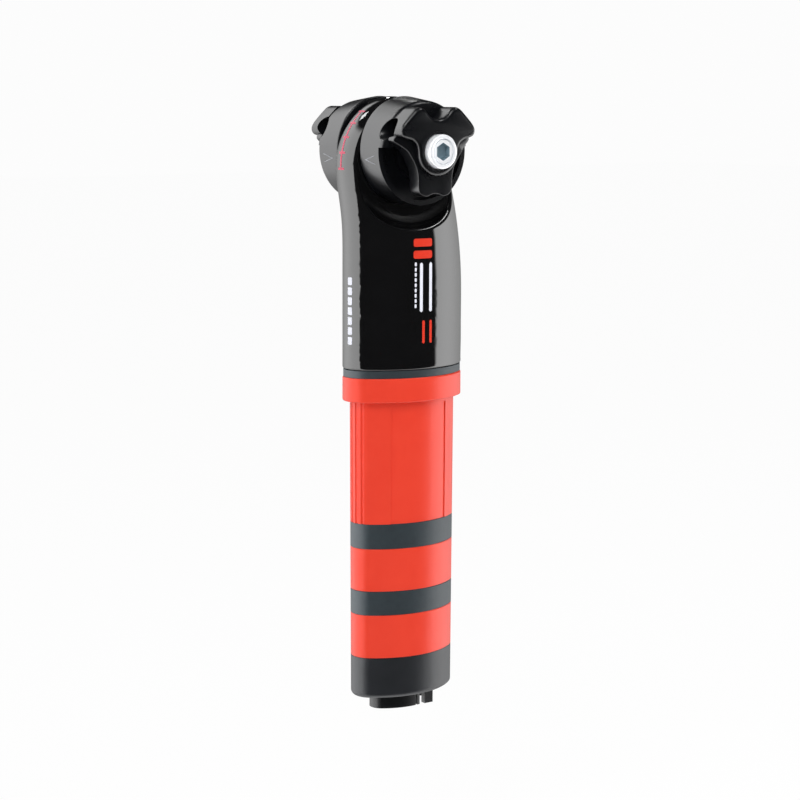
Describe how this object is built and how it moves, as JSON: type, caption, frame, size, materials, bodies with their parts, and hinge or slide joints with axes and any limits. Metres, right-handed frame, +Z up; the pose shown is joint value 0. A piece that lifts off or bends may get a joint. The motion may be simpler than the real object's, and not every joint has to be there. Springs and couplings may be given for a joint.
{
  "type": "seatpost",
  "caption": "Seatpost head for an oval seat mast: gloss body, tilting side-clamp discs for the saddle rails, red collar and sleeve, and an expanding plug of rings and rubber bands.",
  "frame": {"origin": "centre of the oval plug, in the plane where the collar rests on the rim of the seat mast", "axes": "+Z up along the plug towards the saddle clamp, +X forward, +Y to the rider's left"},
  "size_m": [0.0561, 0.0678, 0.2418],
  "materials": {
    "gloss_black": "gloss lacquer over carbon or alloy",
    "satin_black": "satin black anodised",
    "red_anodised": "satin red anodised",
    "rubber_grey": "matte",
    "dark_cap": "satin dark grey",
    "spine_alloy": "satin dark grey",
    "liner_grey": "matte",
    "bright_steel": "bright zinc plate",
    "zinc_steel": "zinc plate"
  },
  "bodies": {
    "post": {"post_body": "gloss_black", "pivot_liner": "liner_grey", "damper_gasket": "rubber_grey", "collar_sleeve": "red_anodised", "spine": "spine_alloy", "upper_band": "rubber_grey", "draw_washer": "zinc_steel"},
    "clamp": {"clamp_disc_left": "satin_black", "clamp_disc_right": "satin_black", "friction_ring_left": "liner_grey", "friction_ring_right": "liner_grey", "cross_sleeve": "zinc_steel"},
    "right_cap": {"rail_cap_right": "satin_black", "bolt_cup": "satin_black"},
    "left_cap": {"rail_cap_left": "satin_black", "nut_cup": "satin_black", "clamp_nut": "zinc_steel"},
    "clamp_bolt": {"clamp_bolt": "bright_steel"},
    "plug_end": {"lower_ring": "red_anodised", "end_cap": "dark_cap", "draw_nut": "zinc_steel"},
    "middle_ring": {"middle_ring": "red_anodised", "lower_band": "rubber_grey"},
    "draw_bolt": {"draw_bolt": "zinc_steel"}
  },
  "joints": [
    {"name": "clamp_tilt", "type": "hinge", "parent": "post", "child": "clamp", "pos_m": [-0.0054, 0, 0.0971], "axis": [0, 1, 0], "range_deg": [-20, 20]},
    {"name": "right_cap_slide", "type": "slide", "parent": "clamp", "child": "right_cap", "axis": [0, -1, 0], "range_m": [0, 0.0025]},
    {"name": "left_cap_slide", "type": "slide", "parent": "clamp", "child": "left_cap", "axis": [0, 1, 0], "range_m": [0, 0.0025]},
    {"name": "clamp_bolt_turn", "type": "hinge", "parent": "right_cap", "child": "clamp_bolt", "pos_m": [-0.0054, 0, 0.0971], "axis": [0, -1, 0], "range_deg": [0, 1441]},
    {"name": "plug_end_slide", "type": "slide", "parent": "post", "child": "plug_end", "axis": [0, 0, 1], "range_m": [0, 0.002], "deforming": ["lower_band"]},
    {"name": "middle_ring_slide", "type": "slide", "parent": "post", "child": "middle_ring", "axis": [0, 0, 1], "range_m": [0, 0.001], "deforming": ["upper_band"]},
    {"name": "draw_bolt_turn", "type": "hinge", "parent": "post", "child": "draw_bolt", "pos_m": [0.007, 0, 0], "axis": [0, 0, -1], "range_deg": [0, 721]}
  ],
  "couplings": [
    {"joint": "left_cap_slide", "follows": "right_cap_slide", "ratio": 1},
    {"joint": "clamp_bolt_turn", "follows": "right_cap_slide", "rad_per_m": 10053},
    {"joint": "middle_ring_slide", "follows": "plug_end_slide", "ratio": 0.5},
    {"joint": "draw_bolt_turn", "follows": "plug_end_slide", "rad_per_m": 6283.2}
  ]
}
